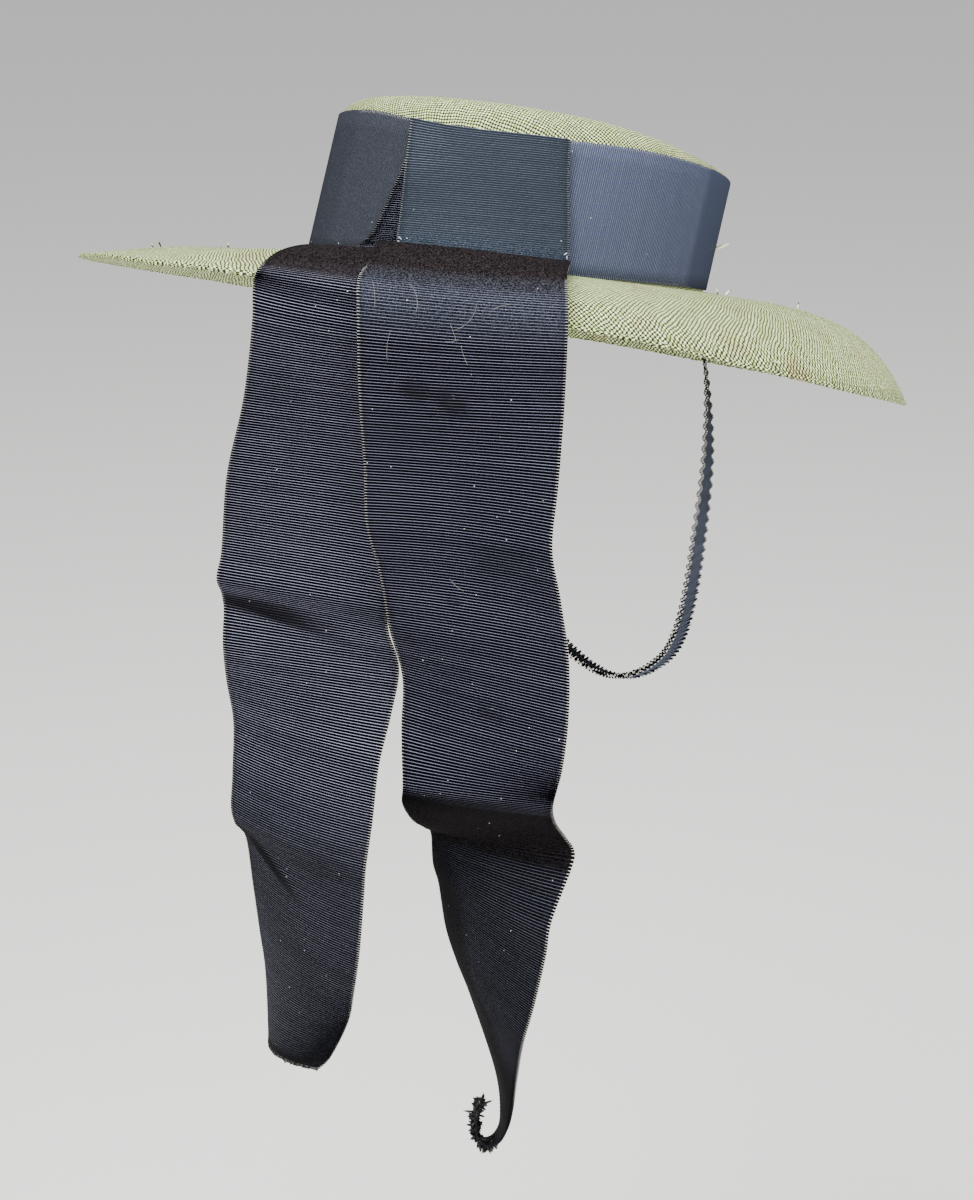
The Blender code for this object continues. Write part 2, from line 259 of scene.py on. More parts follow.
def parasisal_straw(name, yarn, turn, yarns_round):
    """Woven straw: two sets of round, slightly shiny yarns cross one over one, with painted shade in the
    gaps between them.

    One set stands prouder, so its lines lead the eye. The UV map is in metres. Each yarn has its own tint,
    the lines wander, and patches have aged."""
    made, tree, shader = new_material(name, 0.60, 0.12)
    place = add_node(tree, "TexCoord", out="Object")
    flat = add_node(tree, "TexCoord", out="UV")
    turned = add_node(tree, "VectorRotate", {"Angle": turn}, {"Vector": flat}, rotation_type="Z_AXIS")
    counted = add_node(tree, "Mapping", {"Scale": (1 / yarn, 1 / yarn, 1)}, {"Vector": turned})
    wander = noise_node(tree, place, WANDER_SCALE, 2.0, 0.6, out="Color")
    centred = add_node(tree, "VectorMath", {1: (0.5, 0.5, 0.5)}, {0: wander}, operation="SUBTRACT")
    reach = {1: (YARN_WANDER, YARN_WANDER, 0)}
    shifted = add_node(tree, "VectorMath", reach, {0: centred, 2: counted}, operation="MULTIPLY_ADD")
    cells = add_node(tree, "VectorMath", {}, {0: shifted}, operation="FLOOR")
    within = add_node(tree, "VectorMath", {}, {0: shifted}, operation="FRACTION")
    split_cell = add_node(tree, "SeparateXYZ", {}, {0: cells}).node
    split_within = add_node(tree, "SeparateXYZ", {}, {0: within}).node
    split_all = add_node(tree, "SeparateXYZ", {}, {0: shifted}).node

    heights = []
    tints = []
    for mine, other, stands in ((0, 1, PROUD_YARN), (1, 0, SUNK_YARN)):
        across = math_node(tree, "MULTIPLY", split_within.outputs[mine], math.pi)
        round_yarn = math_node(tree, "SINE", across)
        run = math_node(tree, "ADD", split_cell.outputs[mine], split_all.outputs[other])
        over = math_node(tree, "SINE", math_node(tree, "MULTIPLY", run, math.pi))
        if mine:
            over = math_node(tree, "MULTIPLY", over, -1.0)
        lifted = math_node(tree, "MULTIPLY_ADD", over, YARN_RISE, YARN_LEVEL)
        round_yarn = math_node(tree, "MULTIPLY", round_yarn, stands)
        heights.append(math_node(tree, "MULTIPLY", round_yarn, lifted))
        number = math_node(tree, "MODULO", split_cell.outputs[mine], yarns_round)
        seeded = math_node(tree, "ADD", number, 7.0 * mine + 0.5)
        tints.append(add_node(tree, "TexWhiteNoise", {}, {"W": seeded}, noise_dimensions="1D"))
    height = math_node(tree, "MAXIMUM", *heights)
    on_top = math_node(tree, "GREATER_THAN", *heights)
    tint = add_node(tree, "Mix", {}, {"Factor": on_top, 2: tints[1], 3: tints[0]}, data_type="FLOAT")

    fresh = mixed(tree, tint, STRAW_DEEP, STRAW_PALE)
    rusty = ranged(tree, noise_node(tree, place, PATCH_SCALE, 3.0), *STRAW_RUST)
    aged = mixed(tree, rusty, fresh, STRAW_RUSTY)
    # Where the yarns sink, the colour goes to the gap colour: painted shade between the yarns.
    filled = ranged(tree, height, *STRAW_FILLED, rise="SMOOTHSTEP")
    dulled = ranged(tree, noise_node(tree, place, GLINT_SCALE, 1.0), *STRAW_DULLED)
    filled = math_node(tree, "MULTIPLY", filled, dulled)
    tree.links.new(mixed(tree, filled, STRAW_GAP, aged), shader.inputs["Base Color"])
    bump = add_node(tree, "Bump", {"Strength": 0.9, "Distance": 0.0007}, {"Height": height})
    tree.links.new(bump, shader.inputs["Normal"])
    return made


def sheet_mesh(name, rows, flat_place, closed=False):
    """A smooth quad sheet through rows of points. Its UV map is in metres, from flat_place(column, row)."""
    columns, count = len(rows[0]) - 1, len(rows) - 1
    form = bmesh.new()
    bmesh.ops.create_grid(form, x_segments=columns, y_segments=count, size=0.5)
    flat = form.loops.layers.uv.new("flat")
    for face in form.faces:
        face.smooth = True
        for loop in face.loops:
            column = round((loop.vert.co.x + 0.5) * columns)
            row = round((loop.vert.co.y + 0.5) * count)
            loop[flat].uv = flat_place(column, row)
    for vert in form.verts:
        column = round((vert.co.x + 0.5) * columns)
        row = round((vert.co.y + 0.5) * count)
        vert.co = rows[row][column]
    if closed:
        bmesh.ops.remove_doubles(form, verts=form.verts, dist=WELD)
    form.normal_update()
    return form


def add_piece(name, form, finish, record_slot, *nodes):
    """Puts the form in the scene as a piece that stands for its CAD nodes."""
    mesh = bpy.data.meshes.new(name)
    form.to_mesh(mesh)
    form.free()
    mesh.materials.append(finish)
    piece = bpy.data.objects.new(name, mesh)
    bpy.context.scene.collection.objects.link(piece)
    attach(piece, "root")
    if nodes:
        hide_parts(*nodes)
    return piece


def give_wall(piece, thickness, offset):
    wall = piece.modifiers.new("wall", "SOLIDIFY")
    wall.thickness = thickness
    wall.offset = offset
    wall.use_even_offset = True


def crown_profile():
    """Up the crown's side, round its corner and in to its middle: a kind and a part for each ring."""
    rings = [("side", step / CROWN_SIDE_STEPS) for step in range(CROWN_SIDE_STEPS)]
    rings += [("corner", step / CROWN_CORNER_STEPS) for step in range(CROWN_CORNER_STEPS)]
    rings += [("top", 1 - step / CROWN_TOP_STEPS) for step in range(CROWN_TOP_STEPS + 1)]
    return rings


def crown_point(bearing, kind, part):
    top = side_top(bearing)
    if kind == "side":
        foot = join_height(bearing) - SEAM_DEPTH
        return on_crown(bearing, foot + (top - foot) * part, 0)
    if kind == "corner":
        angle = part * math.pi / 2
        point = on_crown(bearing, top, CORNER_RADIUS * (math.cos(angle) - 1))
        point.z += (top_height(point) - top) * math.sin(angle)
        return point
    edge = crown_radius(bearing) - CORNER_RADIUS
    point = on_crown(bearing, top, edge * part - crown_radius(bearing))
    point.z = top_height(point)
    return point


crown_rings = [
    [worn(crown_point(360 * step / CROWN_AROUND, kind, part)) for step in range(CROWN_AROUND + 1)]
    for kind, part in crown_profile()
]
crown_reach = [0.0]
for outer, inner in zip(crown_rings[::-1], crown_rings[-2::-1]):
    crown_reach.append(crown_reach[-1] + (outer[0] - inner[0]).length)
crown_reach = crown_reach[::-1]


def crown_flat(column, row):
    """The hood's weave starts at the middle of the top, so its map is spread out from there."""
    spread = toward(360 * column / CROWN_AROUND) * crown_reach[row]
    return spread.x, spread.y


crown_straw = parasisal_straw("parasisal_straw_crown", YARN, CROWN_WEAVE_TURN, CROWN_YARNS)
crown_form = sheet_mesh("crown", crown_rings, crown_flat, closed=True)
crown = add_piece("straw_crown", crown_form, crown_straw, "natural_straw", "crown")
give_wall(crown, STRAW, -1)


# Straw brim. The same woven straw, a separate piece stitched round the crown's foot. It is nearly flat
# inside, and its outer edge is rolled down and turned under, where the yarns make a fine rope.
BRIM_SECTIONS = (
    # bearing, width, edge_height, roll
    (-57, 0.0885, -0.0262, 2.0),
    (-25, 0.0868, -0.0286, 1.7),
    (33, 0.0825, -0.0272, 4.2),
    (85, 0.0858, -0.0282, 5.0),
    (123, 0.0880, -0.0246, 4.6),
    (168, 0.0864, -0.0165, 4.2),
    (213, 0.0840, -0.0152, 3.6),
)
BRIM_AROUND = 720
BRIM_STEPS = 34
BRIM_MAP_RADIUS = YARNS_ROUND_BRIM * YARN * math.sqrt(2) / (2 * math.pi)
BRIM_WAVE = 0.0006
BRIM_WAVE_SCALE = 28
BRIM_WAVE_SINK = 0.2
BRIM_WEAVE_TURN = math.radians(45)


def brim_section(bearing):
    """The brim's width, edge height and roll at a bearing."""
    return read_round(BRIM_SECTIONS, bearing)


def on_brim(bearing, reach, lift):
    """A point that far out from the crown and above the brim's top."""
    width, edge, roll = brim_section(bearing)
    join = join_height(bearing)
    point = on_crown(bearing, join, reach)
    point.z += (edge - join) * min(reach / width, 1) ** roll + lift
    return point


def brim_point(bearing, part):
    """On the brim's top, with the slight waves that damp and handling leave in straw."""
    width = brim_section(bearing)[0]
    point = on_brim(bearing, GAP + (width - GAP) * part, 0)
    point.z += BRIM_WAVE * part * (noise.noise(point * BRIM_WAVE_SCALE) - BRIM_WAVE_SINK)
    return worn(point)


brim_rings = [
    [brim_point(360 * step / BRIM_AROUND, 1 - ring / BRIM_STEPS) for step in range(BRIM_AROUND + 1)]
    for ring in range(BRIM_STEPS + 1)
]


def brim_flat(column, row):
    """Round the brim and out along it, drawn so that the yarns cross at right angles all over."""
    bearing = 360 * column / BRIM_AROUND
    radius = crown_radius(bearing) + brim_section(bearing)[0] * (1 - row / BRIM_STEPS)
    return BRIM_MAP_RADIUS * math.radians(bearing), BRIM_MAP_RADIUS * math.log(radius / BRIM_MAP_RADIUS)


brim_straw = parasisal_straw("parasisal_straw_brim", YARN, BRIM_WEAVE_TURN, YARNS_ROUND_BRIM)
brim_form = sheet_mesh("brim", brim_rings, brim_flat, closed=True)
brim = add_piece("straw_brim", brim_form, brim_straw, "natural_straw", "brim")
give_wall(brim, STRAW, -1)


# Rope edge. Where the brim's straw is turned under, its yarns show as a fine rope with slanting strands.
# A few cut ends of straw stand up from the weave.
EDGE_ROPE = 0.0009
EDGE_STRANDS = 3
EDGE_TWISTS = 170
EDGE_RELIEF = 0.20
EDGE_AROUND = 2040
EDGE_SIDES = 12
EDGE_SEAM = 0.96
EDGE_LOOK = 0.2
EDGE_MAP_STEP = 0.00037
STRAW_ENDS = (
    # bearing, part, length, lean_round, lean_out
    (83.5, 0.33, 0.0032, 0.7, -0.2),
    (82, 0.31, 0.0026, -0.5, 0.2),
    (104, 0.48, 0.0030, 0.1, -0.2),
    (-55.5, 0.67, 0.0026, 0.6, 0.2),
    (-55.5, 0.37, 0.0022, -0.5, 0.1),
    (70, 0.97, 0.0022, 0.4, 1.2),
    (205, 0.55, 0.0030, -0.4, 0.3),
    (300, 0.72, 0.0026, 0.7, 0.4),
)
STRAW_END_THICKNESS = 0.0007
STRAW_END_STEPS = (-0.6, 0, 1, 2, 3, 4)
STRAW_END_BEND = 0.3
STRAW_END_YARNS = 64
STRAND_ASKEW = Vector((0.37, 0.52, 0.77))
STRAND_MAP_STEP = 0.0002


def rope_ring(step):
    """One ring of points round the rope, whose strands swell and sink as they wind."""
    bearing = 360 * step / EDGE_AROUND
    edge, inner = brim_point(bearing, 1), brim_point(bearing, EDGE_SEAM)
    ahead = brim_point(bearing + EDGE_LOOK, 1) - brim_point(bearing - EDGE_LOOK, 1)
    outward = (edge - inner).normalized()
    upward = outward.cross(ahead).normalized()
    middle = edge - upward * STRAW / 2
    ring = []
    for side in range(EDGE_SIDES + 1):
        angle = 2 * math.pi * side / EDGE_SIDES
        wound = EDGE_STRANDS * angle - math.radians(bearing) * EDGE_TWISTS
        reach = EDGE_ROPE * (1 + EDGE_RELIEF * math.cos(wound))
        ring.append(middle + (outward * math.cos(angle) + upward * math.sin(angle)) * reach)
    return ring


def rope_flat(column, row):
    return EDGE_MAP_STEP * row, 2 * math.pi * EDGE_ROPE * column / EDGE_SIDES


def strand(points, thickness, sides=6):
    """Rows of points for a round strand that tapers shut at both ends."""
    rows = []
    last = len(points) - 1
    for index, point in enumerate(points):
        ahead = (points[min(index + 1, last)] - points[max(index - 1, 0)]).normalized()
        sideways = ahead.cross(STRAND_ASKEW).normalized()
        upward = ahead.cross(sideways)
        reach = 0 if index in (0, last) else thickness / 2
        angles = [2 * math.pi * side / sides for side in range(sides + 1)]
        rows.append([point + (sideways * math.cos(a) + upward * math.sin(a)) * reach for a in angles])
    return rows


def strands(name, paths, thickness):
    """Many strands in one mesh."""
    gathered = bmesh.new()
    for path in paths:
        step = (path[1] - path[0]).length

        def flat_place(column, row):
            return STRAND_MAP_STEP * column, step * row

        form = sheet_mesh(name, strand(path, thickness), flat_place, closed=True)
        bmesh.ops.recalc_face_normals(form, faces=form.faces)
        part = bpy.data.meshes.new(name)
        form.to_mesh(part)
        form.free()
        gathered.from_mesh(part)
        bpy.data.meshes.remove(part)
    return gathered


rope_rings = [rope_ring(step) for step in range(EDGE_AROUND + 1)]
rope_form = sheet_mesh("rope", rope_rings, rope_flat, closed=True)
bmesh.ops.recalc_face_normals(rope_form, faces=rope_form.faces)
add_piece("straw_edge_rope", rope_form, brim_straw, "natural_straw")

straw_ends = []
for bearing, part, length, lean_round, lean_out in STRAW_ENDS:
    foot = brim_point(bearing, part)
    outward = (brim_point(bearing, part + 0.03) - foot).normalized()
    ahead = (brim_point(bearing + 1, part) - foot).normalized()
    upward = outward.cross(ahead).normalized()
    rise = (upward + ahead * lean_round + outward * lean_out).normalized()
    bend = ahead * lean_round * STRAW_END_BEND
    share = length / STRAW_END_STEPS[-1]
    straw_ends.append([foot + (rise * step + bend * step * step) * share for step in STRAW_END_STEPS])
end_straw = parasisal_straw("parasisal_straw_cut_ends", YARN * 2, 0.0, STRAW_END_YARNS)
ends_form = strands("cut_ends", straw_ends, STRAW_END_THICKNESS)
add_piece("straw_cut_ends", ends_form, end_straw, "natural_straw")


# Grosgrain band. A two-inch rayon grosgrain ribbon is drawn tight round the crown's side, its ribs upright,
# and stitched at the back, where the streamers cover its ends.
RIBBON = 0.0010
RIBBON_WALL = 0.0007
BAND_STAND_OFF = GAP
BAND_FOOT = 0.0010
BAND_ACROSS = 8
BAND_RIB = 0.00086
BAND_START = 20
BAND_KEY_STEP = 3
BAND_BETWEEN_KEYS = 8
BAND_WIDTH = 0.050
RIB_STEPS = 4
RIB_HEIGHT = 0.00022
# Painted highlight on the band's rib crests and painted shade in its grooves.
BAND_CREST_HIGHLIGHT = "#a7abc2"
BAND_GROOVE_SHADE = "#343949"
# The first zone, across the back, is painted shade, where the ribs give way to a dark nap; the second,
# round the front, darkens the band with a fuzzy nap.
BAND_WEAR_AND_SHADE = (
    # start, end, fade, strength, dark, pale
    (0.395, 0.520, 0.045, 0.80, "#1f2023", "#303234"),
    (0.150, 0.330, 0.050, 0.35, "#282a2d", "#3b3f43"),
)
# The selvedge colour below is a painted highlight on each rib crest near the ribbon's edges.
SELVEDGE_HIGHLIGHT = "#e8e6dc"
SELVEDGE_STRENGTH = 0.80
SELVEDGE_STARTS = 0.0012
SELVEDGE_FULL = 0.0005
SELVEDGE_FADE = 0.012
FUZZ_SCALE = 1900
CLOUD_SCALE = 32
RIB_CREST = (0.24, 0.95)
RIB_FLECKS = (0.3, 0.7, 0.62)
RIB_CLOUDS = (0.3, 0.7, 0.78)
RIB_TINTS = (0.30, 0.72)
NAP_TUFTS = (0.47, 0.61)
RIBS_SLIPPED = 0.40
RIBS_SLIP_STEP = 0.34
SLIP_SCALE = 260
# The colour of the painted shade in creases and folds.
CREASE_SHADE = "#0b0a0c"
CREASE_FALL = 3
MARK_CORE = 0.25
LINT = "#d5d2c8"
DUST_SCALE = 240
DUST_SIZE = 0.055
DUST_RARITY = 0.76
DUST_STRENGTH = 0.7


def denser(keys, between):
    """The same ribs with more between them, on a smooth curve along each thread."""
    last = len(keys) - 1
    rows = []
    for index in range(last):
        four = [keys[min(max(index + shift, 0), last)] for shift in (-1, 0, 1, 2)]
        for step in range(between):
            rows.append([spline(*points, step / between) for points in zip(*four)])
    return rows + [keys[last]]


def evenly(keys, spacing, between, finer_until=0.0, finer=1.0):
    """Rows spaced evenly along the ribbon's middle, on smooth curves through its key ribs.

    Up to finer_until the ribs are finer, so the rows there are closer by that factor."""
    fine = denser(keys, between)
    middle = [row[len(row) // 2] for row in fine]
    distances = [0.0]
    for start, end in zip(middle, middle[1:]):
        distances.append(distances[-1] + (end - start).length)
    rows = []
    index = 0
    wanted = 0.0
    while wanted <= distances[-1]:
        while index < len(distances) - 2 and distances[index + 1] < wanted:
            index += 1
        part = (wanted - distances[index]) / (distances[index + 1] - distances[index])
        rows.append([start.lerp(end, part) for start, end in zip(fine[index], fine[index + 1])])
        wanted += spacing * (finer if wanted < finer_until else 1)
    return rows


def crushed_mark(tree, flat, across, along, turn, reach_across, reach_along):
    """How far inside a slanting oval mark the ribbon lies: 0 at the mark's edge and 1 in its middle."""
    spot = {
        "Location": (across, along, 0),
        "Rotation": (0, 0, math.radians(turn)),
        "Scale": (reach_across, reach_along, 1),
    }
    placed = add_node(tree, "Mapping", spot, {"Vector": flat}, vector_type="TEXTURE")
    away = add_node(tree, "VectorMath", {}, {0: placed}, "Value", operation="LENGTH")
    return ranged(tree, away, 1.0, MARK_CORE, rise="SMOOTHSTEP")


def grosgrain_rayon(
    name, width, rib, crest_highlight, groove_shade, wear_and_painted_light=(), shaded_creases=(), pulled=(), selvedge_until=1.0
):
    """Grosgrain: the rounded ribs get a painted highlight on their crests and nearly black painted shade in
    the grooves between them.

    The UV map is in metres, x across and y along. Selvedges get a painted highlight on each rib where the
    weft turns.
    Zones along the ribbon lose their ribs to a fuzzy nap, some of it real wear, some painted shade and one
    thin line a painted highlight; marks are creases darkened with painted shade, and at pulled places the
    ribs slipped."""
    made, tree, shader = new_material(name, 0.65, 0.02)
    place = add_node(tree, "TexCoord", out="Object")
    on_ribbon = add_node(tree, "TexCoord", out="UV")
    flat = add_node(tree, "SeparateXYZ", {}, {0: on_ribbon}).node
    fuzz = noise_node(tree, place, FUZZ_SCALE, 2.0, 0.7)
    ribs = math_node(tree, "MULTIPLY", flat.outputs[1], 1 / rib)
    for across, along, reach in pulled:
        inside = crushed_mark(tree, on_ribbon, across, along, 0, reach, reach)
        ragged = noise_node(tree, on_ribbon, SLIP_SCALE, 1.0)
        stepped = math_node(tree, "SNAP", ragged, RIBS_SLIP_STEP)
        slipped = math_node(tree, "MULTIPLY", inside, stepped)
        ribs = math_node(tree, "MULTIPLY_ADD", slipped, RIBS_SLIPPED, ribs)
    number = math_node(tree, "ROUND", ribs)
    wave = math_node(tree, "COSINE", math_node(tree, "MULTIPLY", ribs, 2 * math.pi))
    crest = ranged(tree, wave, *RIB_CREST, rise="SMOOTHSTEP")
    own = add_node(tree, "TexWhiteNoise", {}, {"W": number}, noise_dimensions="1D")
    lit = math_node(tree, "MULTIPLY", crest, math_node(tree, "MULTIPLY_ADD", own, *RIB_TINTS))
    lit = math_node(tree, "MULTIPLY", lit, ranged(tree, fuzz, *RIB_FLECKS))
    clouded = ranged(tree, noise_node(tree, place, CLOUD_SCALE, 3.0), *RIB_CLOUDS)
    lit = math_node(tree, "MULTIPLY", lit, clouded)
    # The crest colour is a painted highlight on the ribs' tops, and the groove colour is painted shade
    # between them.
    ground = mixed(tree, lit, groove_shade, crest_highlight)

    # These zones are partly real wear and partly painted light: painted shade on some, a painted highlight
    # on one thin line.
    for start, end, fade, strength, dark, pale in wear_and_painted_light:
        begun = ranged(tree, flat.outputs[1], start - fade, start)
        over = ranged(tree, flat.outputs[1], end + fade, end)
        inside = math_node(tree, "MULTIPLY", begun, over)
        share = math_node(tree, "MULTIPLY", inside, strength)
        nap = mixed(tree, ranged(tree, fuzz, *NAP_TUFTS), dark, pale)
        ground = mixed(tree, share, ground, nap)

    # Each crease mark is darkened with painted shade.
    for *spot, depth, dark in shaded_creases:
        crease_shaded = math_node(tree, "MULTIPLY", crushed_mark(tree, on_ribbon, *spot), dark)
        ground = mixed(tree, crease_shaded, ground, CREASE_SHADE)

    # The selvedges get a painted highlight on each rib crest, fading out past selvedge_until.
    from_middle = math_node(tree, "SUBTRACT", flat.outputs[0], width / 2)
    from_middle = math_node(tree, "ABSOLUTE", from_middle)
    edge = ranged(tree, from_middle, width / 2 - SELVEDGE_STARTS, width / 2 - SELVEDGE_FULL)
    ticked = math_node(tree, "MULTIPLY", edge, crest)
    fades = selvedge_until + SELVEDGE_FADE
    kept = ranged(tree, flat.outputs[1], fades, selvedge_until, high=SELVEDGE_STRENGTH)
    edged = mixed(tree, math_node(tree, "MULTIPLY", ticked, kept), ground, SELVEDGE_HIGHLIGHT)
    specks = add_node(tree, "TexVoronoi", {"Scale": DUST_SCALE}, {"Vector": place}, "Distance").node
    dust = math_node(tree, "LESS_THAN", specks.outputs["Distance"], DUST_SIZE)
    picked = add_node(tree, "SeparateXYZ", {}, {0: specks.outputs["Color"]})
    rare = math_node(tree, "GREATER_THAN", picked, DUST_RARITY)
    dusted = math_node(tree, "MULTIPLY", math_node(tree, "MULTIPLY", dust, rare), DUST_STRENGTH)
    tree.links.new(mixed(tree, dusted, edged, LINT), shader.inputs["Base Color"])
    relief = math_node(tree, "MULTIPLY_ADD", fuzz, 0.5, crest)
    bump = add_node(tree, "Bump", {"Strength": 0.30, "Distance": 0.0003}, {"Height": relief})
    tree.links.new(bump, shader.inputs["Normal"])
    return made


def ribbon_piece(name, rows, spacing, width, finish, creases, node):
    """A ribbon through evenly spaced rows. Ribs stand out, creases sink in, and it has its thickness."""
    columns = len(rows[0]) - 1

    def flat_place(column, row):
        return width * column / columns, spacing * row

    form = sheet_mesh(name, rows, flat_place)
    flat = form.loops.layers.uv.active
    rib = spacing * RIB_STEPS
    lifts = {}
    for vert in form.verts:
        across, along = vert.link_loops[0][flat].uv
        lifts[vert] = RIB_HEIGHT / 2 * math.cos(2 * math.pi * along / rib)
        for mark_across, mark_along, turn, reach_across, reach_along, depth, dark in creases:
            offset = Vector((across - mark_across, along - mark_along))
            offset = Matrix.Rotation(-math.radians(turn), 2) @ offset
            away = math.hypot(offset.x / reach_across, offset.y / reach_along)
            lifts[vert] -= depth * math.exp(-CREASE_FALL * away**2)
    for vert, lift in lifts.items():
        vert.co += vert.normal * lift
    piece = add_piece(name, form, finish, "navy_grosgrain", node)
    give_wall(piece, RIBBON_WALL, 0)
    return piece


def band_point(bearing, part):
    foot = join_height(bearing) + BAND_FOOT
    return worn(on_crown(bearing, foot + (side_top(bearing) - foot) * part, BAND_STAND_OFF + RIBBON / 2))


band_keys = [
    [band_point(BAND_START + BAND_KEY_STEP * step, part / BAND_ACROSS) for part in range(BAND_ACROSS + 1)]
    for step in range(360 // BAND_KEY_STEP + 1)
]
band_rows = evenly(band_keys, BAND_RIB / RIB_STEPS, BAND_BETWEEN_KEYS)
band_finish = grosgrain_rayon(
    "grosgrain_rayon_band", BAND_WIDTH, BAND_RIB, BAND_CREST_HIGHLIGHT, BAND_GROOVE_SHADE, BAND_WEAR_AND_SHADE
)
band = ribbon_piece("ribbon_band", band_rows, BAND_RIB / RIB_STEPS, BAND_WIDTH, band_finish, (), "band")


# Streamers. Two lengths of wide rayon grosgrain ribbon are stitched over the band at the back, cross the
# brim and hang free. Years folded in a box have left a hard kink, a diagonal crease and a curled end.
LEFT_STAND_OFF = BAND_STAND_OFF + RIBBON + 2 * GAP + RIBBON / 2
RIGHT_STAND_OFF = LEFT_STAND_OFF + RIBBON + 1.5 * GAP
STREAMER_WIDTH = 0.072
STREAMER_ACROSS = 16
STREAMER_RIB = 0.00105
STREAMER_BETWEEN_KEYS = 16
HANG_BEARING = 33
RIGHT_ON_CROWN = (
    # above_join, stand_off, left_bearing, right_bearing
    (None, RIGHT_STAND_OFF, -1.5, 40.5),
    (0.036, RIGHT_STAND_OFF, 0, 42.5),
    (0.021, RIGHT_STAND_OFF + 0.0002, 1.5, 45),
    (0.009, RIGHT_STAND_OFF + 0.0016, 3.0, 46.5),
)
RIGHT_ON_BRIM = (
    # reach, lift, left_bearing, right_bearing
    (0.008, 0.0048, 5.0, 46.5),
    (0.020, 0.0042, 7.0, 45),
    (0.042, 0.0042, 10.0, 42.5),
)
RIGHT_HANGING = (
    # height, out, side, turn, curl, tip, width
    (0.0280, 0.1500, 0.020, -8, 20, 4, 0.069),
    (0.0235, 0.1640, 0.020, -8, 20, 5, 0.072),
    (0.0140, 0.1715, 0.020, -6, 18, 4, 0.072),
    (-0.0100, 0.1770, 0.019, 6, 10, 0, 0.072),
    (-0.0370, 0.1825, 0.017, 24, -12, 0, 0.071),
    (-0.0580, 0.1870, 0.015, 38, -32, 0, 0.071),
    (-0.0760, 0.1890, 0.018, 38, -26, 0, 0.071),
    (-0.0970, 0.1920, 0.021, 31, -6, 0, 0.072),
    (-0.1180, 0.1955, 0.021, 33, 4, 0, 0.072),
    (-0.1350, 0.1990, 0.019, 34, 6, -2, 0.072),
    (-0.1470, 0.2015, 0.016, 36, 8, -10, 0.072),
    (-0.1580, 0.1925, 0.017, 34, 8, -10, 0.072),
    (-0.1680, 0.1840, 0.021, 33, 8, -10, 0.072),
    (-0.1740, 0.1825, 0.024, 34, 10, -9, 0.072),
    (-0.1800, 0.1845, 0.023, 37, 13, -7, 0.072),
    (-0.1990, 0.1885, 0.016, 44, 16, -3, 0.072),
    (-0.2130, 0.1885, 0.014, 47, 18, 0, 0.072),
    (-0.2340, 0.1870, 0.010, 54, 16, 0, 0.072),
    (-0.2520, 0.1840, 0.006, 62, 14, 0, 0.072),
    (-0.2680, 0.1800, 0.004, 70, 8, 0, 0.066),
    (-0.2850, 0.1770, 0.002, 79, 4, -6, 0.040),
    (-0.2940, 0.1750, 0.000, 84, 0, -14, 0.022),
    (-0.3000, 0.1740, -0.003, 86, 0, -18, 0.018),
    (-0.3015, 0.1740, -0.0075, 86, 0, -20, 0.016),
    (-0.2970, 0.1740, -0.0110, 86, 0, -20, 0.015),
    (-0.2900, 0.1740, -0.0112, 86, 0, -20, 0.014),
    (-0.2845, 0.1740, -0.0095, 86, 0, -20, 0.013),
)
LEFT_ON_CROWN = (
    # above_join, stand_off, left_bearing, right_bearing
    (None, LEFT_STAND_OFF, 0.5, 39),
    (0.036, LEFT_STAND_OFF, -1.5, 39),
    (0.021, LEFT_STAND_OFF, -4.0, 40),
    (0.009, LEFT_STAND_OFF + 0.0004, -6.5, 40),
)
LEFT_ON_BRIM = (
    # reach, lift, left_bearing, right_bearing
    (0.009, 0.0026, -8.0, 37),
    (0.020, 0.0018, -7.5, 33.5),
    (0.042, 0.0015, -4.0, 29.5),
    (0.066, 0.0015, -0.5, 28.5),
    (0.085, 0.0015, 2.0, 27.5),
)
LEFT_HANGING = (
    # height, out, side, turn, curl, tip, width
    (0.0165, 0.1680, -0.0220, 6, 28, 5, 0.072),
    (0.0060, 0.1685, -0.0235, 10, 24, 3, 0.072),
    (-0.0200, 0.1640, -0.030, 23, 6, 0, 0.072),
    (-0.0500, 0.1575, -0.037, 26, -2, 0, 0.072),
    (-0.0800, 0.1560, -0.0415, 28, -2, 0, 0.072),
    (-0.0910, 0.1560, -0.0430, 26, 0, 0, 0.072),
    (-0.1010, 0.1540, -0.0430, 30, -2, 0, 0.072),
    (-0.1160, 0.1520, -0.0395, 22, 0, 0, 0.072),
    (-0.1330, 0.1540, -0.0425, 22, 12, 0, 0.072),
    (-0.1510, 0.1600, -0.0470, 28, 18, 0, 0.072),
    (-0.1720, 0.1640, -0.0495, 28, 22, 0, 0.072),
    (-0.1890, 0.1650, -0.0520, 30, 22, 0, 0.072),
    (-0.2010, 0.1645, -0.0530, 34, 26, 0, 0.072),
    (-0.2240, 0.1640, -0.0550, 36, 30, 0, 0.072),
    (-0.2420, 0.1630, -0.0575, 40, 30, -3, 0.072),
    (-0.2550, 0.1620, -0.0600, 43, 31, -8, 0.072),
    (-0.2710, 0.1600, -0.0670, 47, 34, -17, 0.072),
    (-0.2770, 0.1590, -0.0720, 51, 34, -19, 0.072),
)


def across(left, right):
    return [left + (right - left) * step / STREAMER_ACROSS for step in range(STREAMER_ACROSS + 1)]


